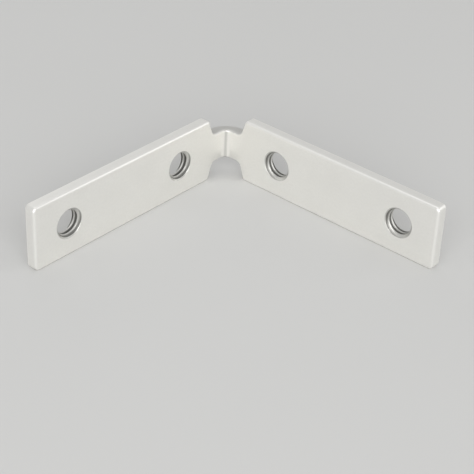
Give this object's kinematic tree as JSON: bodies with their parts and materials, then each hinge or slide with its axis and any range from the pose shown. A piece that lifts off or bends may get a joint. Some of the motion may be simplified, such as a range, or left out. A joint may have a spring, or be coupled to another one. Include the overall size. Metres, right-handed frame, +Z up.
{
  "type": "corner brace",
  "caption": "Flat steel corner brace: a bar folded to a right angle at a narrow waist, with threaded holes in both legs, for the inside of a box or frame corner.",
  "frame": {"origin": "where the two boards' faces meet, level with the brace's lower edges: the outer faces lie on the planes X = 0 and Y = 0", "axes": "+Z up, across the bar's width; one leg runs along +X with its outer face towards +Y, and the other along -Y with its outer face towards -X, so the inside of the angle faces +X and -Y"},
  "size_m": [0.07, 0.07, 0.0175],
  "materials": {
    "plated_steel": "satin nickel plate, pale warm grey"
  },
  "bodies": {
    "root": {"corner_brace": "plated_steel"}
  },
  "joints": []
}
